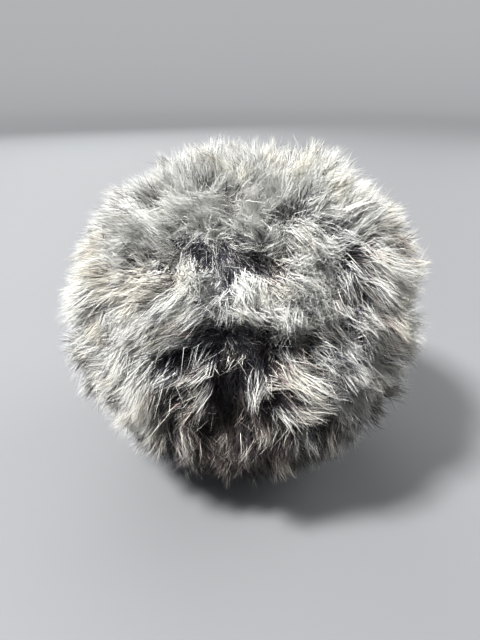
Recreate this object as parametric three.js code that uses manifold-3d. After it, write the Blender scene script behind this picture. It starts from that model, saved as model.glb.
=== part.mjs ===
// Faux fur pom-pom: a ball of fur cloth whose pile stands in locks, with partings where the locks lean apart.
// Millimetres, +Z up. The ball rests on the floor at z = 0, and the side that the photo shows faces -Y.
import * as THREE from "three";
import { mergeVertices } from "three/addons/utils/BufferGeometryUtils.js";
import Module from "manifold-3d";

const wasm = await Module();
wasm.setup();

// Size over the tips of the pile, and the height of the ball's middle above the floor
const WIDTH = 102;
const DEPTH = 100;
const HEIGHT = 92;
const MIDDLE_HEIGHT = 43;
// How far the ball would reach below its middle if it did not rest on the floor
const REACH_BELOW = 46;
// 2 is an ellipsoid, and more makes broader shoulders
const ROUNDNESS_ABOVE = 2.2;
const ROUNDNESS_BELOW = 2;

// Backing: the ball of cloth under the pile
const PILE_DEPTH = 12;
const BACKING_DETAIL = 3;

// Locks: tapering tufts of pile, bent over by the way the fur lies
const LOCK_COUNT = 280;
const LOCK_SIDES = 4;
const ROOT_SUNK = 4;
const RISE_BEFORE_BEND = 0.55;
const UNEVEN_REACH = 0.08;
const UNEVEN_SPACING = 0.3;
const NEIGHBOUR_SHARE = 0.47;
// How wide a lock is along its length, from its sunk root to its tip
const LOCK_PROFILE = [
  { along: 0, halfWidth: 4.2 },
  { along: 0.5, halfWidth: 4.2 },
  { along: 0.82, halfWidth: 2.8 },
  { along: 1, halfWidth: 0 },
];
// A lock that the ball stands on is pressed short, and ends flat on the floor
const FLOOR_LOCK_PROFILE = [
  { along: 0, halfWidth: 3.8 },
  { along: 0.6, halfWidth: 3.8 },
  { along: 1, halfWidth: 3.2 },
];
const FLOOR_SPLAY = 1.05;

// How far the tips lean: down under their own weight, away from partings, and at random
const DROOP = 4.5;
const PARTING_LEAN = 3.5;
const RANDOM_LEAN = 2.5;

// Broad swellings of the ball, and one dip: the way they face, how far they spread in degrees, and their height
const SWELLINGS = [
  { turn: 87, rise: 44, spread: 30, height: 3.2 },
  { turn: -87, rise: 40, spread: 30, height: -0.6 },
  { turn: 80, rise: -18, spread: 25, height: 1.2 },
  { turn: 150, rise: 10, spread: 35, height: 1.0 },
];

// Partings on the side that the photo shows, each from one place on the ball to another.
// A turn goes from the front towards +X and a rise goes up from level, both in degrees.
// Depth is the share of the pile's length that is missing there.
const FRONT_PARTINGS = [
  { turn: -13, rise: 16, toTurn: 5, toRise: 14, halfWidth: 5, depth: 0.4 },
  { turn: 6, rise: 22, toTurn: 21, toRise: 17, halfWidth: 4, depth: 0.4 },
  { turn: -25, rise: 5, toTurn: -12, toRise: 12, halfWidth: 4, depth: 0.35 },
  { turn: -3, rise: 6, toTurn: -5, toRise: -18, halfWidth: 5, depth: 0.4 },
  { turn: -28, rise: -8, toTurn: -16, toRise: -2, halfWidth: 4, depth: 0.35 },
  { turn: 1, rise: 9, toTurn: 10, toRise: 2, halfWidth: 4, depth: 0.35 },
  { turn: 5, rise: -6, toTurn: 18, toRise: -4, halfWidth: 4, depth: 0.35 },
  { turn: -27, rise: 49, toTurn: -14, toRise: 39, halfWidth: 4, depth: 0.4 },
  { turn: -7, rise: 44, toTurn: -8, toRise: 33, halfWidth: 3, depth: 0.4 },
  { turn: 3, rise: 41, toTurn: 14, toRise: 36, halfWidth: 3, depth: 0.3 },
  { turn: -44, rise: 35, toTurn: -28, toRise: 36, halfWidth: 4, depth: 0.4 },
  { turn: -32, rise: 30, toTurn: -29, toRise: 24, halfWidth: 3, depth: 0.3 },
  { turn: -69, rise: 25, toTurn: -60, toRise: 22, halfWidth: 3, depth: 0.3 },
  { turn: 73, rise: 40, toTurn: 56, toRise: 36, halfWidth: 4, depth: 0.35 },
  { turn: 33, rise: 35, toTurn: 35, toRise: 28, halfWidth: 3, depth: 0.4 },
  { turn: 35, rise: 28, toTurn: 52, toRise: 21, halfWidth: 4, depth: 0.4 },
  { turn: 17, rise: 17, toTurn: 18, toRise: 10, halfWidth: 4, depth: 0.4 },
  { turn: 26, rise: 17, toTurn: 38, toRise: 11, halfWidth: 4, depth: 0.3 },
  { turn: 25, rise: 53, toTurn: 23, toRise: 43, halfWidth: 4, depth: 0.3 },
  { turn: 69, rise: -1, toTurn: 66, toRise: -12, halfWidth: 4, depth: 0.4 },
];
// Partings on the sides that the photo does not show
const OTHER_PARTINGS = 60;
const OTHER_PARTING = { halfWidth: 3.5, depth: 0.4, length: 11 };
const FRONT_TURN = 75;

const MIDDLE = new THREE.Vector3(0, 0, MIDDLE_HEIGHT);
const HALF_SIZE = new THREE.Vector3(WIDTH / 2, DEPTH / 2, HEIGHT - MIDDLE_HEIGHT);
const GOLDEN_ANGLE = Math.PI * (3 - Math.sqrt(5));

// A repeatable number from 0 to 1 for a counted thing and one of its features
function chance(index, feature) {
  const wave = Math.sin(index * 12.9898 + feature * 78.233) * 43758.5453;
  return wave - Math.floor(wave);
}

function facing(turn, rise) {
  const t = THREE.MathUtils.degToRad(turn);
  const r = THREE.MathUtils.degToRad(rise);
  return new THREE.Vector3(Math.sin(t) * Math.cos(r), -Math.cos(t) * Math.cos(r), Math.sin(r));
}

// Place number index of count places spread evenly over a ball, from its lowest point to its highest
function evenDirection(index, count) {
  const height = -1 + 2 * index / (count - 1);
  const reach = Math.sqrt(1 - height * height);
  const angle = index * GOLDEN_ANGLE;
  return new THREE.Vector3(Math.cos(angle) * reach, Math.sin(angle) * reach, height);
}

function across(direction, vector) {
  return vector.clone().addScaledVector(direction, -vector.dot(direction));
}

// A direction square to another, whichever way that points
function squareTo(direction) {
  const upright = Math.abs(direction.z) > 0.7;
  return across(direction, new THREE.Vector3(upright ? 1 : 0, 0, upright ? 0 : 1)).normalize();
}

function randomVector(index, feature) {
  return new THREE.Vector3(
    chance(index, feature) - 0.5,
    chance(index, feature + 1) - 0.5,
    chance(index, feature + 2) - 0.5,
  );
}

function otherPartings() {
  const partings = [];
  for (let i = 0; i < OTHER_PARTINGS; i += 1) {
    const middle = evenDirection(i, OTHER_PARTINGS);
    const turn = THREE.MathUtils.radToDeg(Math.atan2(middle.x, -middle.y));
    if (Math.abs(turn) < FRONT_TURN || middle.z < -0.75) continue;
    const along = across(middle, randomVector(i, 20)).setLength(OTHER_PARTING.length / WIDTH);
    const from = middle.clone().sub(along).normalize();
    const to = middle.clone().add(along).normalize();
    partings.push({ from, to, halfWidth: OTHER_PARTING.halfWidth, depth: OTHER_PARTING.depth });
  }
  return partings;
}

const PARTINGS = FRONT_PARTINGS.map((row) => ({
  from: facing(row.turn, row.rise),
  to: facing(row.toTurn, row.toRise),
  halfWidth: row.halfWidth,
  depth: row.depth,
})).concat(otherPartings());

// How much pile is missing at a place, and which way the pile is pushed by the partings near it
function partingAt(direction) {
  let missing = 0;
  const push = new THREE.Vector3();
  for (const parting of PARTINGS) {
    const nearest = new THREE.Line3(parting.from, parting.to).closestPointToPoint(
      direction, true, new THREE.Vector3());
    const away = direction.clone().sub(nearest);
    const distance = away.length() * WIDTH / 2;
    const inside = Math.exp(-((distance / parting.halfWidth) ** 2));
    const beside = Math.exp(-((distance / (2 * parting.halfWidth)) ** 2));
    missing = Math.max(missing, inside * parting.depth);
    push.addScaledVector(across(direction, away).normalize(), beside * parting.depth);
  }
  return { missing, push };
}

function swellingAt(direction) {
  let height = 0;
  for (const swelling of SWELLINGS) {
    const angle = THREE.MathUtils.radToDeg(direction.angleTo(facing(swelling.turn, swelling.rise)));
    height += swelling.height * Math.exp(-((angle / swelling.spread) ** 2));
  }
  return height;
}

// Distance from the ball's middle to the limit of the pile
function pileLimit(direction) {
  const above = direction.z > 0;
  const level = Math.hypot(direction.x / HALF_SIZE.x, direction.y / HALF_SIZE.y);
  const upright = Math.abs(direction.z) / (above ? HALF_SIZE.z : REACH_BELOW);
  const roundness = above ? ROUNDNESS_ABOVE : ROUNDNESS_BELOW;
  return (level ** roundness + upright ** roundness) ** (-1 / roundness) + swellingAt(direction);
}

function backingPoint(direction, sunk = 0) {
  return MIDDLE.clone().addScaledVector(direction, pileLimit(direction) - PILE_DEPTH - sunk);
}

function makeBacking() {
  const ball = new THREE.IcosahedronGeometry(1, BACKING_DETAIL);
  const points = ball.getAttribute("position");
  for (let i = 0; i < points.count; i += 1) {
    const direction = new THREE.Vector3().fromBufferAttribute(points, i).normalize();
    points.setXYZ(i, ...backingPoint(direction).toArray());
  }
  return ball;
}

// Where a lock's root, bend and tip are. A lock that would reach below the floor ends on it instead.
// The lowest lock stands straight, so that its end lies flat under the ball's middle.
function lockPath(index) {
  const even = evenDirection(index, LOCK_COUNT);
  const spacing = Math.sqrt(4 * Math.PI / LOCK_COUNT);
  const unruly = index === 0 ? 0 : 1;
  const shift = across(even, randomVector(index, 1)).multiplyScalar(unruly * spacing * UNEVEN_SPACING);
  const direction = even.add(shift).normalize();
  const { missing, push } = partingAt(direction);

  const lean = across(direction, new THREE.Vector3(0, 0, -1)).multiplyScalar(DROOP);
  lean.addScaledVector(push, PARTING_LEAN);
  lean.addScaledVector(across(direction, randomVector(index, 5)), 2 * RANDOM_LEAN * unruly);
  const tipDirection = direction.clone().addScaledVector(lean, 2 / WIDTH).normalize();

  const limit = pileLimit(tipDirection);
  const tip = MIDDLE.clone().addScaledVector(tipDirection, limit);
  const onFloor = tip.z < 0;
  if (onFloor) {
    const outward = MIDDLE_HEIGHT / (MIDDLE_HEIGHT - tip.z) * FLOOR_SPLAY;
    tip.set(tip.x * outward, tip.y * outward, 0);
  } else {
    tip.addScaledVector(tipDirection, -UNEVEN_REACH * limit * chance(index, 9) - missing * PILE_DEPTH);
  }
  const root = backingPoint(direction, ROOT_SUNK);
  const bend = root.clone().addScaledVector(direction, root.distanceTo(tip) * RISE_BEFORE_BEND);
  return { curve: new THREE.QuadraticBezierCurve3(root, bend, tip), onFloor };
}

// Half the width that a ring of this lock may have and still stand apart from its neighbours
function roomAt(paths, lock, along) {
  const here = paths[lock].curve.getPoint(along);
  let nearest = Infinity;
  for (let other = 0; other < paths.length; other += 1) {
    if (other === lock) continue;
    nearest = Math.min(nearest, here.distanceTo(paths[other].curve.getPoint(along)));
  }
  return nearest * NEIGHBOUR_SHARE;
}

function makeLock(paths, lock) {
  const { curve, onFloor } = paths[lock];
  const profile = onFloor ? FLOOR_LOCK_PROFILE : LOCK_PROFILE;
  const steps = profile.length - 1;
  const tuft = new THREE.CylinderGeometry(onFloor ? 1 : 0, 1, steps, LOCK_SIDES, steps);
  const points = tuft.getAttribute("position");
  const turned = chance(lock, 12) * Math.PI;
  const beside = squareTo(curve.getTangent(0.5));
  const rings = profile.map((row) => {
    const flow = row.along === 1 && onFloor ? new THREE.Vector3(0, 0, -1) : curve.getTangent(row.along);
    const side = across(flow, beside).normalize();
    const halfWidth = Math.min(row.halfWidth, roomAt(paths, lock, row.along));
    return { middle: curve.getPoint(row.along), side, front: side.clone().cross(flow), halfWidth };
  });
  for (let i = 0; i < points.count; i += 1) {
    const ring = rings[Math.round(points.getY(i) + steps / 2)];
    const off = Math.hypot(points.getX(i), points.getZ(i)) < 1e-6 ? 0 : ring.halfWidth;
    const angle = Math.atan2(points.getX(i), points.getZ(i)) + turned;
    const place = ring.middle.clone();
    place.addScaledVector(ring.side, off * Math.sin(angle));
    place.addScaledVector(ring.front, off * Math.cos(angle));
    points.setXYZ(i, ...place.toArray());
  }
  return tuft;
}

function toSolid(geometry) {
  geometry.deleteAttribute("normal");
  geometry.deleteAttribute("uv");
  const welded = mergeVertices(geometry, 1e-4);
  return new wasm.Manifold(new wasm.Mesh({
    numProp: 3,
    vertProperties: new Float32Array(welded.getAttribute("position").array),
    triVerts: new Uint32Array(welded.getIndex().array),
  }));
}

function toGeometry(solid) {
  const mesh = solid.getMesh();
  const geometry = new THREE.BufferGeometry();
  geometry.setAttribute("position", new THREE.BufferAttribute(mesh.vertProperties, 3));
  geometry.setIndex(new THREE.BufferAttribute(mesh.triVerts, 1));
  return geometry;
}

// Brings the tips to the stated size, with the middle of the footprint at the origin
function fitToSize(geometry) {
  geometry.computeBoundingBox();
  const size = geometry.boundingBox.getSize(new THREE.Vector3());
  const middle = geometry.boundingBox.getCenter(new THREE.Vector3());
  geometry.translate(-middle.x, -middle.y, -geometry.boundingBox.min.z);
  geometry.scale(WIDTH / size.x, DEPTH / size.y, HEIGHT / size.z);
}

function makeFurBall() {
  const paths = [];
  for (let lock = 0; lock < LOCK_COUNT; lock += 1) paths.push(lockPath(lock));
  let ball = toSolid(makeBacking());
  for (let lock = 0; lock < LOCK_COUNT; lock += 1) {
    ball = ball.add(toSolid(makeLock(paths, lock)));
  }
  const geometry = toGeometry(ball);
  fitToSize(geometry);
  geometry.computeVertexNormals();
  return geometry;
}

const fur = new THREE.MeshStandardMaterial({ color: 0xa3a19c, roughness: 0.95, metalness: 0 });
const furBall = new THREE.Mesh(makeFurBall(), fur);
furBall.name = "fur_ball";

const pomPom = new THREE.Group();
pomPom.add(furBall);

export default pomPom;
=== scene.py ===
"""Looks of the faux fur pom-pom: a dark ball of fur cloth under a coat of separate frosted hairs."""
import math

import bpy
import numpy as np
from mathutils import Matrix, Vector


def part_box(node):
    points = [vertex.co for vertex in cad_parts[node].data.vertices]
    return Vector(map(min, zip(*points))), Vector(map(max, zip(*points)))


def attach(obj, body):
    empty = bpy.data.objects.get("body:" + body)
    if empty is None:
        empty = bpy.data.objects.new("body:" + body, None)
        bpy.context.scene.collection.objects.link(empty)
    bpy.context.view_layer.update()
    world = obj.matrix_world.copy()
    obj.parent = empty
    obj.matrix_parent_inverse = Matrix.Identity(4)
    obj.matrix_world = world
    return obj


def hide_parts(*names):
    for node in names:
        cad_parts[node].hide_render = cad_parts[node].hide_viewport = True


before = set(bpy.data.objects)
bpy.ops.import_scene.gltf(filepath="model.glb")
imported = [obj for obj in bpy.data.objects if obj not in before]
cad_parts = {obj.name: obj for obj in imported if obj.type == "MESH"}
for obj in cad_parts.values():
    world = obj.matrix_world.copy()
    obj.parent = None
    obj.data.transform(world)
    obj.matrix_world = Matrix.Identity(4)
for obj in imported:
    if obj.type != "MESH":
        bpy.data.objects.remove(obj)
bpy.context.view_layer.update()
MM = 0.001
RANDOM = np.random.default_rng(7)

# The ball in millimetres, as its solid is built
LOW, HIGH = (np.array(corner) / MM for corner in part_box("fur_ball"))
WIDTH, DEPTH, HEIGHT = HIGH - LOW
MIDDLE = np.array([0.0, 0.0, 43.0])
RADIUS = WIDTH / 2
HALF_SIZE = np.array([RADIUS, DEPTH / 2, HEIGHT - MIDDLE[2]])
REACH_BELOW = 46.0
ROUNDNESS_ABOVE = 2.2
ROUNDNESS_BELOW = 2.0
FIT_PLACES = 4000
PILE_DEPTH = 12.0

# Places on the ball have a turn in degrees from the front to the right, a rise in degrees above level,
# and a spread in degrees

# How the fur lies, as how far the tips lean in mm: combed away from a whorl, hanging,
# pushed aside by partings, and in broad waves
WHORL = {"turn": 12, "rise": 76, "spread": 30}
COMB_LEAN = 3.2
DROOP = 1.3
PARTING_LEAN = 2.5
WAVE_LEAN = 1.2
WAVE_LENGTH = 26.0
WAVE_COUNT = 12

# Clumps from locks down to wisps: how many there are, how far their tips draw in to the tip of the larger
# clump that holds them, how far they stray in mm, how their frost and reach differ as shares of the pile,
# and how much lower their edges end. Scatter is a share of the space between them.
CLUMP_COLUMNS = ("name", "count", "gather", "stray", "frost", "reach", "dome")
CLUMPS = [
    ("lock", 280, 0.0, 1.5, 0.02, 0.07, 0.20),
    ("tuft", 2000, 0.35, 2.1, 0.12, 0.09, 0.24),
    ("wisp", 30000, 0.55, 1.3, 0.09, 0.09, 0.0),
]
CLUMP_SCATTER = 0.25

# Where the fur is ruffled: how much more its clumps stray, differ in frost and in reach, and draw together,
# and how much more its hairs curl
RUFFLE = {
    "turn": 0, "rise": 4, "spread": 22,
    "stray": 0.6, "frost": 0.8, "reach": 0.4, "gather": 0.20, "curl": 0.2,
}

# Layers of the coat: how many hairs each wisp has in it, their reach and how uneven it is,
# their width, stray and curl in mm, their frost, lower in the lower layers as painted shade deep in the
# pile, how much painted shade darkens them in a hollow, standing also for the dark roots that show there,
# and how far they draw in to the tips of their wisps
LAYER_COLUMNS = (
    "name", "hairs", "reach", "uneven", "width", "stray", "curl", "frost", "hollow_shade", "gather",
)
LAYERS = [
    ("fur_underfur", 1, 0.78, 0.25, 0.30, 2.0, 1.0, -0.36, 0.5, 0.1),
    ("fur_pile_a", 3, 0.93, 0.25, 0.17, 1.0, 0.8, -0.12, 0.8, 0.6),
    ("fur_pile_b", 3, 0.99, 0.20, 0.17, 1.0, 0.8, 0.01, 0.8, 0.6),
    ("fur_pile_c", 3, 1.03, 0.20, 0.16, 1.0, 0.9, 0.11, 0.8, 0.65),
    ("fur_pile_d", 3, 1.05, 0.20, 0.15, 1.2, 1.0, 0.13, 0.8, 0.55),
    ("fur_stray", 3, 1.05, 0.30, 0.11, 2.3, 1.4, 0.09, 0.8, 0.0),
]

# Single hairs: how they differ from their wisps in place, curl and frost, the share of them with less frost,
# how they differ in width, the limits of their length as shares of the pile, how deep their roots sit in mm,
# how far along they bend, and how far their flat sides turn at random
ROOT_SCATTER = 0.4
OWN_CURL = 0.6
HAIR_FROST = 0.15
DARK_HAIRS = {"share": 0.20, "frost": -0.40}
UNEVEN_WIDTH = (0.7, 1.3)
HAIR_LENGTH = (0.25, 1.15)
ROOT_SUNK = 0.5
BEND = (0.4, 0.7)
RIBBON_TURN = 0.9

# A hair is a thin kite of two triangles: its root, its left and right corners, and its tip
HAIR_STEPS = np.array([0.0, 0.6, 1.0])
CORNER_STEPS = np.array([0, 1, 1, 2])
CORNER_SIDES = np.array([0, -0.5, 0.5, 0])
HAIR_FACES = np.array([(0, 2, 1), (1, 2, 3)])

# The map of each hair: the limits of its tan across, and of its place from root to tip upwards,
# and how wide it is on the map
TAN_LIMITS = (0.01, 0.99)
PLACE_LIMITS = (0.005, 0.995)
MAP_WIDTH = 0.008

# Hairs under the ball rest at random heights above the floor in mm, and no corner lies lower than the gap
FLOOR_REST = 0.1
FLOOR_SPREAD = 0.3
FLOOR_GAP = 0.02

# Patches of tan fur all over: about how large they are in mm, and how tan they and single hairs are
TAN_LENGTH = 16.0
TAN_SHARE = 0.40
TAN_HAIR_SHARE = 0.08

# Broad swellings of the ball, and one dip, with their height in mm
SWELLINGS = [
    {"turn": 87, "rise": 44, "spread": 30, "height": 3.2},
    {"turn": -87, "rise": 40, "spread": 30, "height": -0.6},
    {"turn": 80, "rise": -18, "spread": 25, "height": 1.2},
    {"turn": 150, "rise": 10, "spread": 35, "height": 1.0},
]

# Places where the fur is swept aside, with the lean to the right and up in mm
SWEEPS = [
    {"turn": 0, "rise": 26, "spread": 5, "right": -5.0, "up": 3.2},
    {"turn": -8, "rise": 24, "spread": 5, "right": -4.5, "up": 2.4},
    {"turn": 8, "rise": 27, "spread": 5, "right": 3.0, "up": 1.0},
    {"turn": 17, "rise": 25, "spread": 5, "right": 5.0, "up": 1.0},
    {"turn": 23, "rise": 20, "spread": 5, "right": 4.5, "up": 0.0},
    {"turn": -20, "rise": 30, "spread": 12, "right": -1.5, "up": -0.5},
    {"turn": -17, "rise": 5, "spread": 12, "right": -2.0, "up": 0.0},
    {"turn": 20, "rise": 2, "spread": 12, "right": 1.5, "up": 0.0},
]

# Patches of lighter, darker or tan tips: how much further the frost comes down the hairs and how much longer
# the hairs are, both as shares of the pile, and how tan they are. The groups are broad patches, some of
# which are painted light and shade, small ones, the fringe above the large hollow, and light tufts below and
# beside it.
PATCH_COLUMNS = ("turn", "rise", "spread", "frost", "reach", "tan")
BROAD_PATCHES_WITH_PAINTED_LIGHT_AND_SHADE = [
    (0, 55, 35, 0.46, 0.0, 0.0),
    (50, 40, 22, 0.07, 0.0, 0.0),
    (-45, 35, 35, 0.14, 0.0, 0.1),
    (-65, 18, 28, 0.12, 0.0, 0.0),
    # Painted shade: darker tips on the right side, away from the key light
    (36, 16, 12, -0.22, 0.0, 0.0),
    # Painted shade: darker tips on the lower front under the overhanging fur, with shorter hair
    (2, 3, 15, -0.22, -0.12, 0.0),
    (12, 14, 8, -0.18, -0.05, 0.0),
    (-32, 2, 13, 0.17, 0.0, 0.0),
    (50, -3, 16, 0.12, 0.0, 0.0),
    # Painted light: lighter tips on the right rim, where the key light does not reach, a little tan
    (75, 20, 30, 0.10, 0.0, 0.15),
    (115, 5, 45, 0.20, 0.0, 0.1),
    # Painted shade: much darker tips underneath the ball, with a little mauve tan
    (0, -90, 60, -0.65, 0.0, 0.3),
    # Painted shade: darker tips low on the front, with mauve tan
    (5, -30, 20, -0.28, 0.0, 0.85),
    (-14, -9, 8, 0.0, 0.0, 0.45),
]
SMALL_PATCHES = [
    (-18, -1, 3.5, 0.0, 0.0, 0.5),
    (11.5, 31, 4, 0.04, 0.0, 0.5),
    (-41, 39, 6, -0.20, -0.08, 0.0),
    (-29, 35.5, 5, -0.20, -0.08, 0.3),
    (-15, 41, 5, -0.30, -0.12, 0.0),
    (4, 39, 5, -0.18, -0.08, 0.25),
    (-4, 60, 8, -0.16, -0.06, 0.0),
    (28, 55, 7, -0.16, -0.06, 0.0),
    (18, 46, 6, -0.12, -0.06, 0.0),
    (31, 44, 5, -0.16, -0.06, 0.0),
    (41, 24, 6, -0.10, -0.06, 0.0),
    (42, 11, 6, -0.10, -0.06, 0.0),
    (-31, 29.5, 5, 0.12, 0.06, 0.0),
    (-14, 31, 6, 0.14, 0.08, 0.0),
    (3, 29, 6, 0.12, 0.06, 0.0),
    (28, 29, 5, 0.12, 0.06, 0.0),
]
FRINGE_PATCHES = [
    (-12, 20, 3, 0.16, 0.08, 0.0),
    (-4, 22.5, 3, 0.14, 0.08, 0.0),
    (3, 24, 3, 0.08, 0.06, 0.0),
    (13, 25, 3, 0.20, 0.08, 0.0),
    (20, 21, 3, 0.20, 0.08, 0.0),
    (25, 17, 3, 0.20, 0.08, 0.0),
    (10, 18.5, 3.5, 0.28, 0.20, 0.0),
    (12, 22, 3, 0.25, 0.15, 0.0),
]
LIGHT_TUFTS = [
    (-4.7, 12.5, 3, 0.36, 0.30, 0.0),
    (-12, 15.5, 3, 0.28, 0.20, 0.0),
    (-15, 18, 3, 0.26, 0.20, 0.0),
    (-14, 8.5, 3, 0.36, 0.25, 0.0),
    (-14, 0.5, 3, 0.36, 0.25, 0.0),
    (3, 1.5, 3.2, 0.42, 0.32, 0.0),
    (8.5, 2.5, 2.8, 0.35, 0.25, 0.0),
    (14.5, 9, 3, 0.20, 0.10, 0.1),
    (20.5, 4.5, 3.5, 0.22, 0.12, 0.2),
    (19, -3, 3.5, 0.26, 0.15, 0.35),
    (25, -2, 3, 0.15, 0.10, 0.1),
    (-29, -16, 4.5, 0.20, 0.12, 0.0),
    (1, -10, 3.5, 0.14, 0.12, 0.0),
]
PATCHES = BROAD_PATCHES_WITH_PAINTED_LIGHT_AND_SHADE + SMALL_PATCHES + FRINGE_PATCHES + LIGHT_TUFTS

# Partings on the photographed side: from one place to another, half their width in mm,
# and the share of the pile's length that is missing
PARTING_COLUMNS = ("turn", "rise", "to_turn", "to_rise", "half_width", "depth")
FRONT_PARTINGS = [
    (-8, 18, 3, 17, 5.0, 1.05),
    (14, 20.5, 20, 16, 2.2, 0.20),
    (-20, 11, -12, 13, 3.0, 0.80),
    (-20, 1, -14, 3, 3.2, 0.70),
    (-3, 11, 6, 9, 2.6, 0.50),
    (-2.5, 5, -4, -4, 4.2, 0.90),
    (-6, -6, -9, -16, 3.5, 0.60),
    (6, 1, 12, 2, 2.6, 0.55),
    (-22, 48, -15, 42, 3.2, 1.00),
    (-4, 44, -6, 35, 3.0, 1.00),
    (2, 41, 10, 38, 2.6, 0.75),
    (-35, 37, -25, 38, 2.6, 0.35),
    (-27, 32, -25, 28, 2.0, 0.20),
    (-50, 27, -46, 26, 2.2, 0.25),
    (46, 40, 44, 35, 2.2, 0.58),
    (27, 35, 28.5, 30, 2.2, 0.08),
    (29, 29, 41, 24.5, 2.2, 0.30),
    (-8, 60, -6, 55, 2.6, 0.35),
    (30, 58, 34, 56, 2.2, 0.25),
    (18, 47, 18.5, 43, 2.2, 0.25),
    (36, 46, 35, 43, 2.0, 0.10),
]

# Shallower partings on the sides that do not show, which begin at the stated turn
OTHER_PARTINGS = 90
OTHER_PARTING = {"half_width": 2.3, "depth": 0.22, "length": 9.0}
FRONT_TURN = 75


def facing(turn, rise):
    """The direction from the ball's middle with this turn and rise in degrees."""
    t, r = math.radians(turn), math.radians(rise)
    return np.array([math.sin(t) * math.cos(r), -math.cos(t) * math.cos(r), math.sin(r)])


def unit(vectors):
    return vectors / np.maximum(np.linalg.norm(vectors, axis=-1, keepdims=True), 1e-9)


def across(directions, vectors):
    """The part of each vector that is square to its direction."""
    return vectors - (vectors * directions).sum(-1, keepdims=True) * directions


def degrees_from(directions, place):
    return np.degrees(np.arccos(np.clip(directions @ facing(place["turn"], place["rise"]), -1, 1)))


def near(directions, place):
    """1 at a place on the ball, falling to nothing beyond its spread."""
    return np.exp(-((degrees_from(directions, place) / place["spread"]) ** 2))


def even_directions(count):
    """Places spread evenly over a ball, from its lowest point to its highest."""
    index = np.arange(count)
    height = -1 + 2 * index / (count - 1)
    reach = np.sqrt(np.maximum(0, 1 - height ** 2))
    angle = index * math.pi * (3 - math.sqrt(5))
    return np.stack([np.cos(angle) * reach, np.sin(angle) * reach, height], 1)


def scattered(directions, spread):
    """Moves each direction at random by about spread, a share of the ball's radius."""
    return unit(directions + across(directions, RANDOM.normal(0, spread, directions.shape)))


def pile_limit(directions):
    """Distance in mm from the ball's middle to the limit of the pile."""
    above = directions[:, 2] > 0
    level = np.hypot(directions[:, 0] / HALF_SIZE[0], directions[:, 1] / HALF_SIZE[1])
    upright = np.abs(directions[:, 2]) / np.where(above, HALF_SIZE[2], REACH_BELOW)
    power = np.where(above, ROUNDNESS_ABOVE, ROUNDNESS_BELOW)
    limit = (level ** power + upright ** power) ** (-1 / power)
    for swelling in SWELLINGS:
        limit += swelling["height"] * near(directions, swelling)
    return limit


def all_partings():
    """The photographed partings, and others like them on the sides that do not show."""
    found = []
    for values in FRONT_PARTINGS:
        row = dict(zip(PARTING_COLUMNS, values))
        start = facing(row["turn"], row["rise"])
        end = facing(row["to_turn"], row["to_rise"])
        found.append((start, end, row["half_width"], row["depth"]))
    for middle in even_directions(OTHER_PARTINGS):
        turn = math.degrees(math.atan2(middle[0], -middle[1]))
        if abs(turn) < FRONT_TURN:
            continue
        along = unit(across(middle, RANDOM.normal(0, 1, 3))) * OTHER_PARTING["length"] / WIDTH
        start, end = unit(middle - along), unit(middle + along)
        found.append((start, end, OTHER_PARTING["half_width"], OTHER_PARTING["depth"]))
    return found


def parting_effect(directions, partings):
    """How much of the pile is missing at each place, and which way partings push it."""
    missing = np.zeros(len(directions))
    push = np.zeros_like(directions)
    for start, end, half_width, depth in partings:
        line = end - start
        along = np.clip((directions - start) @ line / (line @ line), 0, 1)
        away = directions - (start + along[:, None] * line)
        distance = np.linalg.norm(away, axis=1) * RADIUS
        inside = np.exp(-((distance / half_width) ** 2))
        beside = np.exp(-((distance / (2 * half_width)) ** 2))
        missing = np.maximum(missing, inside * depth)
        push += unit(across(directions, away)) * (beside * depth)[:, None]
    return missing, push


def make_waves(count, length):
    """Random waves that make one smooth field over the ball, with features about length mm across."""
    waves = []
    for _ in range(count):
        wave = RANDOM.normal(0, 2 * math.pi / length, 3)
        phase = RANDOM.uniform(0, 2 * math.pi, 3)
        size = RANDOM.normal(0, 1, 3)
        waves.append((wave, phase, size))
    return waves


def wave_field(directions, waves):
    """A random vector at each place, which changes smoothly from place to place."""
    total = np.zeros_like(directions)
    for wave, phase, size in waves:
        total += np.sin((directions * RADIUS) @ wave[:, None] + phase) * size
    return total / math.sqrt(len(waves) / 2)


def fit_to_solid():
    """The scale and shift that bring the limit of the pile to the solid's box, with the floor at 0."""
    directions = even_directions(FIT_PLACES)
    limit = MIDDLE + directions * pile_limit(directions)[:, None]
    low, high = limit.min(0), limit.max(0)
    low[2] = 0.0
    scale = (HIGH - LOW) / (high - low)
    return scale, LOW - low * scale


FIT_SCALE, FIT_SHIFT = fit_to_solid()
PARTINGS = all_partings()
LEAN_WAVES = make_waves(WAVE_COUNT, WAVE_LENGTH)


def lean_at(directions):
    """Which way the tips of hairs that root at each place lean, in mm."""
    _, push = parting_effect(directions, PARTINGS)
    upright = np.broadcast_to([0.0, 0.0, 1.0], directions.shape)
    right = unit(np.cross(upright, directions))
    up = np.cross(directions, right)
    whorl = np.broadcast_to(facing(WHORL["turn"], WHORL["rise"]), directions.shape)
    combed = unit(across(directions, -whorl)) * (1 - near(directions, WHORL))[:, None]
    lean = COMB_LEAN * combed - DROOP * across(directions, upright) + PARTING_LEAN * push
    lean += WAVE_LEAN * across(directions, wave_field(directions, LEAN_WAVES))
    for sweep in SWEEPS:
        lean += (sweep["right"] * right + sweep["up"] * up) * near(directions, sweep)[:, None]
    return lean


def coat_at(middles, tips):
    """How much pile is missing along each hair, how much further its frost comes down, with the painted
    light and shade of some broad patches, and how tan it is.
    """
    missing, _ = parting_effect(tips, PARTINGS)
    missing_below, _ = parting_effect(middles, PARTINGS)
    missing = np.maximum(missing, missing_below)
    frost = np.zeros(len(tips))
    tan = np.zeros(len(tips))
    for values in PATCHES:
        patch = dict(zip(PATCH_COLUMNS, values))
        share = near(tips, patch)
        # Some broad patches put painted light and painted shade into the frost
        frost += patch["frost"] * share
        missing -= patch["reach"] * share
        tan += patch["tan"] * share
    return missing, frost, tan


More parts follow.
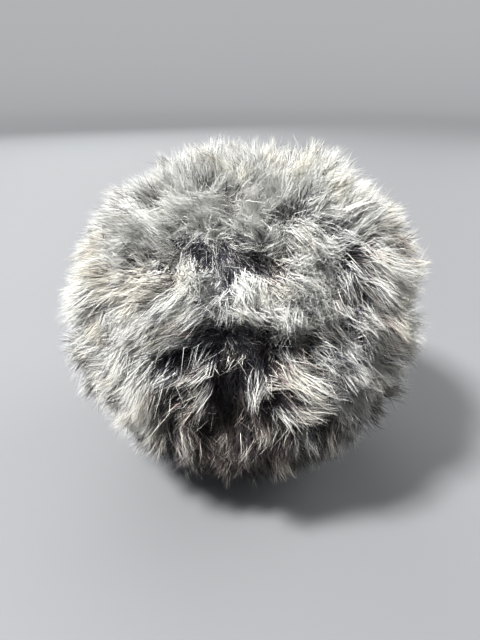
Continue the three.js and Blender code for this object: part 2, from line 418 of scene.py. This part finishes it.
def leaning(roots, stray):
    """Directions of the tips of hairs with these roots, which lean as the fur does and stray in mm."""
    lean = lean_at(roots) + across(roots, stray)
    return unit(roots + lean / RADIUS)


def nearest(directions, centres, batch=2000):
    """The number of the centre that lies nearest to each direction, found a batch at a time."""
    found = np.zeros(len(directions), int)
    for start in range(0, len(directions), batch):
        rows = slice(start, start + batch)
        found[rows] = np.argmax(directions[rows] @ centres.T, axis=1)
    return found


def make_wisps():
    """Roots, tips, stray, frost, reach and curl of the wisps, which lie in tufts, which lie in locks."""
    larger = None
    for values in CLUMPS:
        level = dict(zip(CLUMP_COLUMNS, values))
        count = level["count"]
        spacing = math.sqrt(4 * math.pi / count)
        roots = scattered(even_directions(count), CLUMP_SCATTER * spacing)
        ruffled = near(roots, RUFFLE)
        stray = RANDOM.normal(0, level["stray"], roots.shape) * (1 + RUFFLE["stray"] * ruffled)[:, None]
        frost = RANDOM.normal(0, level["frost"], count) * (1 + RUFFLE["frost"] * ruffled)
        reach = RANDOM.normal(0, level["reach"], count) * (1 + RUFFLE["reach"] * ruffled)
        if larger:
            held_by = nearest(roots, larger["roots"])
            distance = np.linalg.norm(roots - larger["roots"][held_by], axis=1)
            off_centre = distance / larger["half_spacing"]
            stray += larger["stray"][held_by]
            frost += larger["frost"][held_by]
            reach += larger["reach"][held_by] - larger["dome"] * off_centre ** 2
        tips = leaning(roots, stray)
        if larger:
            gather = level["gather"] + RUFFLE["gather"] * ruffled
            tips = unit(tips + (larger["tips"][held_by] - tips) * gather[:, None])
        larger = {
            "roots": roots, "tips": tips, "stray": stray, "frost": frost, "reach": reach,
            "dome": level["dome"], "half_spacing": spacing / 2,
        }
    for name in ("curl", "hook"):
        larger[name] = RANDOM.normal(0, 1, roots.shape)
    return larger


def hair_points(layer, wisps):
    """Points along each hair of a layer in mm, the way its root faces, and the frost and tan of its tip,
    whose frost holds painted light and shade.
    """
    spacing = 2 * wisps["half_spacing"]
    shared = ("roots", "tips", "stray", "frost", "reach", "curl", "hook")
    per_wisp = {name: np.repeat(wisps[name], layer["hairs"], 0) for name in shared}
    roots = scattered(per_wisp["roots"], spacing * ROOT_SCATTER)
    count = len(roots)
    tips = leaning(roots, per_wisp["stray"] + RANDOM.normal(0, layer["stray"], roots.shape))
    tips = unit(tips + (per_wisp["tips"] - tips) * layer["gather"])
    curl_size = (layer["curl"] * (1 + RUFFLE["curl"] * near(roots, RUFFLE)))[:, None]
    curl = across(roots, (per_wisp["curl"] + RANDOM.normal(0, OWN_CURL, roots.shape)) * curl_size)
    hook = across(roots, (per_wisp["hook"] + RANDOM.normal(0, OWN_CURL, roots.shape)) * curl_size)
    tips = unit(tips + hook / RADIUS)
    missing, frost, tan = coat_at(unit(roots + tips + 2 * curl / RADIUS), tips)
    reach = layer["reach"] + per_wisp["reach"] - layer["uneven"] * RANDOM.random(count) ** 2
    length = PILE_DEPTH * np.clip(reach - missing, *HAIR_LENGTH)
    start = MIDDLE + roots * (pile_limit(roots) - PILE_DEPTH - ROOT_SUNK)[:, None]
    end = MIDDLE + tips * (pile_limit(tips) - PILE_DEPTH + length)[:, None]
    rise = np.linalg.norm(end - start, axis=1) * RANDOM.uniform(*BEND, count)
    bend = start + roots * rise[:, None]
    along = HAIR_STEPS[None, :, None]
    points = (
        start[:, None] * (1 - along) ** 2
        + bend[:, None] * 2 * along * (1 - along)
        + end[:, None] * along ** 2
        + curl[:, None] * np.sin(math.pi * along)
    )
    points = points * FIT_SCALE + FIT_SHIFT
    lowest = FLOOR_SPREAD * RANDOM.random((count, 1)) + FLOOR_REST
    points[:, :, 2] = np.maximum(points[:, :, 2], lowest)
    # Painted shade: tips of hairs in hollows are darker, standing also for the dark roots that show there
    frost += layer["frost"] + per_wisp["frost"] - layer["hollow_shade"] * np.maximum(missing, 0)
    frost += RANDOM.normal(0, HAIR_FROST, count)
    frost += DARK_HAIRS["frost"] * (RANDOM.random(count) < DARK_HAIRS["share"])
    return points, roots, frost, tan


def hair_mesh(name, points, outward, width, tan, frost):
    """One mesh of thin hairs with pointed ends. Its map holds the tan across, and root to tip upwards."""
    count = len(points)
    corners = len(CORNER_STEPS)
    flow = unit(np.gradient(points, axis=1))
    look = unit(outward + RANDOM.normal(0, RIBBON_TURN, outward.shape))
    side = unit(np.cross(flow, look[:, None]))
    widths = width * RANDOM.uniform(*UNEVEN_WIDTH, count)
    sideways = (widths[:, None] * CORNER_SIDES)[:, :, None]
    vertices = points[:, CORNER_STEPS] + side[:, CORNER_STEPS] * sideways
    vertices[:, :, 2] = np.maximum(vertices[:, :, 2], FLOOR_GAP)
    triangles = (np.arange(count) * corners)[:, None, None] + HAIR_FACES
    triangles = triangles.reshape(-1, 3)
    mesh = bpy.data.meshes.new(name)
    mesh.vertices.add(count * corners)
    mesh.vertices.foreach_set("co", (vertices * MM).astype(np.float32).ravel())
    mesh.loops.add(triangles.size)
    mesh.loops.foreach_set("vertex_index", triangles.astype(np.int32).ravel())
    mesh.polygons.add(len(triangles))
    mesh.polygons.foreach_set("loop_start", (np.arange(len(triangles)) * 3).astype(np.int32))
    mesh.update(calc_edges=True)
    mesh.validate()
    across_map = np.clip(tan, *TAN_LIMITS)[:, None] + MAP_WIDTH * CORNER_SIDES
    frosted = frost[:, None] * (CORNER_STEPS > 0)
    up_map = np.clip(HAIR_STEPS[CORNER_STEPS] + frosted, *PLACE_LIMITS)
    places = np.stack([across_map, up_map], -1).reshape(-1, 2)
    uv = mesh.uv_layers.new(name="OFBake")
    uv.data.foreach_set("uv", places[triangles.ravel()].astype(np.float32).ravel())
    mesh.polygons.foreach_set("use_smooth", np.ones(len(triangles), bool))
    piece = bpy.data.objects.new(name, mesh)
    bpy.context.scene.collection.objects.link(piece)
    return piece


def color_ramp(nodes, stops):
    """A node that runs through these colours, each at its place from 0 to 1."""
    ramp = nodes.new("ShaderNodeValToRGB")
    elements = ramp.color_ramp.elements
    while len(elements) < len(stops):
        elements.new(0.5)
    for element, (place, color) in zip(elements, stops):
        element.position = place
        element.color = (*color, 1)
    return ramp


def mix_color(material, factor, first, second):
    mix = material.node_tree.nodes.new("ShaderNodeMix")
    mix.data_type = "RGBA"
    material.node_tree.links.new(factor, mix.inputs["Factor"])
    material.node_tree.links.new(first, mix.inputs["A"])
    material.node_tree.links.new(second, mix.inputs["B"])
    return mix.outputs["Result"]


# Colours from root to tip, and of the cloth from its darkest to its lightest
FROSTED_HAIR = [(0.0, (0.005, 0.006, 0.010)), (0.49, (0.009, 0.011, 0.017)), (0.57, (0.043, 0.055, 0.080)),
                (0.65, (0.37, 0.378, 0.378)), (0.74, (0.555, 0.560, 0.542)), (1.0, (0.563, 0.567, 0.545))]
TAN_HAIR = [(0.0, (0.02, 0.015, 0.013)), (0.49, (0.04, 0.030, 0.027)), (0.65, (0.29, 0.215, 0.210)),
            (0.76, (0.58, 0.550, 0.478)), (1.0, (0.63, 0.602, 0.515))]
BACKING_CLOTH = [(0.35, (0.006, 0.007, 0.010)), (0.65, (0.018, 0.019, 0.024))]
CLOTH_SCALE = 900


def fur_material():
    """Hair that is dark at the root and frosted at the tip. Its tan and place come from its map."""
    material = bpy.data.materials.new("frosted_fur")
    material.use_nodes = True
    nodes, links = material.node_tree.nodes, material.node_tree.links
    shader = nodes["Principled BSDF"]
    uv = nodes.new("ShaderNodeUVMap")
    uv.uv_map = "OFBake"
    split = nodes.new("ShaderNodeSeparateXYZ")
    links.new(uv.outputs["UV"], split.inputs["Vector"])
    colors = []
    for stops in (FROSTED_HAIR, TAN_HAIR):
        ramp = color_ramp(nodes, stops)
        links.new(split.outputs["Y"], ramp.inputs["Fac"])
        colors.append(ramp.outputs["Color"])
    links.new(mix_color(material, split.outputs["X"], *colors), shader.inputs["Base Color"])
    shader.inputs["Roughness"].default_value = 0.55
    shader.inputs["Specular IOR Level"].default_value = 0.15
    shader.inputs["Sheen Weight"].default_value = 0.15
    shader.inputs["Sheen Roughness"].default_value = 0.4
    return material


def make_coat(wisps):
    """The layers of hair, each one mesh."""
    fur = fur_material()
    tan_waves = make_waves(WAVE_COUNT, TAN_LENGTH)
    for values in LAYERS:
        layer = dict(zip(LAYER_COLUMNS, values))
        points, outward, frost, tan = hair_points(layer, wisps)
        tan += TAN_SHARE * np.maximum(wave_field(outward, tan_waves)[:, 0], 0)
        tan += np.abs(RANDOM.normal(0, TAN_HAIR_SHARE, len(tan)))
        piece = hair_mesh(layer["name"], points, outward, layer["width"], tan, frost)
        piece.data.materials.append(fur)
        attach(piece, "root")


def backing_material():
    """Dark woven cloth, a little uneven in colour."""
    material = bpy.data.materials.new("fur_backing_cloth")
    material.use_nodes = True
    nodes, links = material.node_tree.nodes, material.node_tree.links
    shader = nodes["Principled BSDF"]
    place = nodes.new("ShaderNodeTexCoord")
    weave = nodes.new("ShaderNodeTexNoise")
    weave.inputs["Scale"].default_value = CLOTH_SCALE
    colors = color_ramp(nodes, BACKING_CLOTH)
    links.new(place.outputs["Object"], weave.inputs["Vector"])
    links.new(weave.outputs["Fac"], colors.inputs["Fac"])
    links.new(colors.outputs["Color"], shader.inputs["Base Color"])
    shader.inputs["Roughness"].default_value = 0.9
    return material


def make_backing():
    """The fur cloth under the pile: a dark closed ball."""
    bpy.ops.mesh.primitive_ico_sphere_add(subdivisions=5, radius=1)
    ball = bpy.context.object
    ball.name = "fur_backing"
    points = np.zeros(len(ball.data.vertices) * 3, np.float32)
    ball.data.vertices.foreach_get("co", points)
    directions = unit(points.reshape(-1, 3).astype(float))
    places = MIDDLE + directions * (pile_limit(directions) - PILE_DEPTH)[:, None]
    places = places * FIT_SCALE + FIT_SHIFT
    ball.data.vertices.foreach_set("co", (places * MM).astype(np.float32).ravel())
    ball.data.update()
    ball.data.materials.append(backing_material())
    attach(ball, "root")
    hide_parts("fur_ball")


# The studio: a round pale sweep that glows far from the ball, a key light from the upper left,
# two weaker fills, and a sky that is dark below. Lengths are in metres, but for the camera's own in mm.
SWEEP_RADIUS = 1.4
SWEEP_CURVE = 0.6
SWEEP_HEIGHT = 2.6
SWEEP_SIDES = 96
FLAT_RINGS = (0.05, 0.3, 0.8)
CURVE_STEPS = 13
FLOOR_COLOR = (0.135, 0.138, 0.142, 1)
GLOW_COLOR = (0.96, 0.98, 1.0, 1)
GLOW = {"from": 0.15, "to": 2.2, "strength": 0.42}
LIGHT_DISTANCE = 0.8
LIGHT_AIM = Vector((0, 0, 0.045))
LIGHTS = [
    {"name": "key", "from": (-0.46, -0.27, 0.85), "size": 0.14, "power": 21.5},
    {"name": "fill_right", "from": (0.85, 0.40, 0.35), "size": 0.6, "power": 7.0},
    {"name": "fill_back", "from": (-0.30, 0.90, 0.50), "size": 0.6, "power": 5.0},
]
SKY = [(0.0, (0.01, 0.01, 0.012)), (0.50, (0.05, 0.05, 0.055)), (0.65, (0.22, 0.23, 0.25)),
       (1.0, (0.66, 0.68, 0.72))]
CAMERA_PIVOT = Vector((0, 0, 0.0445))
CAMERA_RISE = 26.0
CAMERA_DISTANCE = 0.1445
CAMERA_AIM = Vector((-0.00105, 0.0, 0.0407))
FOCAL_LENGTH = 27.55
SENSOR_WIDTH = 36
NEAREST_SEEN = 0.005


def floor_material():
    """Pale paper that glows a little far from the ball, where the lights don't reach."""
    material = bpy.data.materials.new("pale_floor")
    material.use_nodes = True
    nodes, links = material.node_tree.nodes, material.node_tree.links
    shader = nodes["Principled BSDF"]
    shader.inputs["Base Color"].default_value = FLOOR_COLOR
    shader.inputs["Roughness"].default_value = 0.8
    shader.inputs["Emission Color"].default_value = GLOW_COLOR
    place = nodes.new("ShaderNodeTexCoord")
    distance = nodes.new("ShaderNodeVectorMath")
    distance.operation = "LENGTH"
    glow = nodes.new("ShaderNodeMapRange")
    glow.inputs["From Min"].default_value = GLOW["from"]
    glow.inputs["From Max"].default_value = GLOW["to"]
    glow.inputs["To Max"].default_value = GLOW["strength"]
    links.new(place.outputs["Object"], distance.inputs[0])
    links.new(distance.outputs["Value"], glow.inputs["Value"])
    links.new(glow.outputs["Result"], shader.inputs["Emission Strength"])
    return material


def make_floor():
    """A disc whose rim curves up into a wall all round, so that no horizon shows from any side."""
    profile = [(radius, 0.0) for radius in FLAT_RINGS]
    for turn in np.linspace(0, math.pi / 2, CURVE_STEPS):
        radius = SWEEP_RADIUS + SWEEP_CURVE * math.sin(turn)
        profile.append((radius, SWEEP_CURVE * (1 - math.cos(turn))))
    profile.append((SWEEP_RADIUS + SWEEP_CURVE, SWEEP_HEIGHT))
    angles = np.linspace(0, 2 * math.pi, SWEEP_SIDES, endpoint=False)
    points = [(0.0, 0.0, 0.0)]
    points += [(r * math.cos(a), r * math.sin(a), z) for r, z in profile for a in angles]
    faces = [(0, 1 + i, 1 + (i + 1) % SWEEP_SIDES) for i in range(SWEEP_SIDES)]
    for ring in range(len(profile) - 1):
        low, high = 1 + ring * SWEEP_SIDES, 1 + (ring + 1) * SWEEP_SIDES
        for i in range(SWEEP_SIDES):
            j = (i + 1) % SWEEP_SIDES
            faces.append((low + i, high + i, high + j, low + j))
    mesh = bpy.data.meshes.new("floor")
    mesh.from_pydata(points, [], faces)
    mesh.polygons.foreach_set("use_smooth", [True] * len(faces))
    floor = bpy.data.objects.new("floor", mesh)
    bpy.context.scene.collection.objects.link(floor)
    floor.visible_diffuse = False
    floor.visible_shadow = False
    mesh.materials.append(floor_material())


def add_light(name, direction, size, power):
    data = bpy.data.lights.new(name, "AREA")
    data.energy = power
    data.size = size
    light = bpy.data.objects.new(name, data)
    light.visible_camera = False
    light.location = direction.normalized() * LIGHT_DISTANCE + LIGHT_AIM
    light.rotation_euler = direction.to_track_quat("Z", "Y").to_euler()
    bpy.context.scene.collection.objects.link(light)


def make_lights():
    """The lights, and a sky whose colour changes with height."""
    bpy.context.scene.view_settings.view_transform = "Standard"
    for light in LIGHTS:
        add_light(light["name"], Vector(light["from"]), light["size"], light["power"])
    world = bpy.data.worlds.new("studio")
    bpy.context.scene.world = world
    world.use_nodes = True
    nodes, links = world.node_tree.nodes, world.node_tree.links
    place = nodes.new("ShaderNodeTexCoord")
    split = nodes.new("ShaderNodeSeparateXYZ")
    height = nodes.new("ShaderNodeMapRange")
    height.inputs["From Min"].default_value = -1.0
    sky = color_ramp(nodes, SKY)
    links.new(place.outputs["Generated"], split.inputs["Vector"])
    links.new(split.outputs["Z"], height.inputs["Value"])
    links.new(height.outputs["Result"], sky.inputs["Fac"])
    links.new(sky.outputs["Color"], nodes["Background"].inputs["Color"])


def make_camera():
    """A camera that sees the ball as the photo does."""
    data = bpy.data.cameras.new("camera")
    data.lens = FOCAL_LENGTH
    data.sensor_width = SENSOR_WIDTH
    data.clip_start = NEAREST_SEEN
    camera = bpy.data.objects.new("camera", data)
    rise = math.radians(CAMERA_RISE)
    back = Vector((0, -math.cos(rise), math.sin(rise)))
    camera.location = CAMERA_PIVOT + back * CAMERA_DISTANCE
    camera.rotation_euler = (CAMERA_AIM - camera.location).to_track_quat("-Z", "Y").to_euler()
    bpy.context.scene.collection.objects.link(camera)
    bpy.context.scene.camera = camera


make_camera()
make_backing()
make_coat(make_wisps())
make_floor()
make_lights()
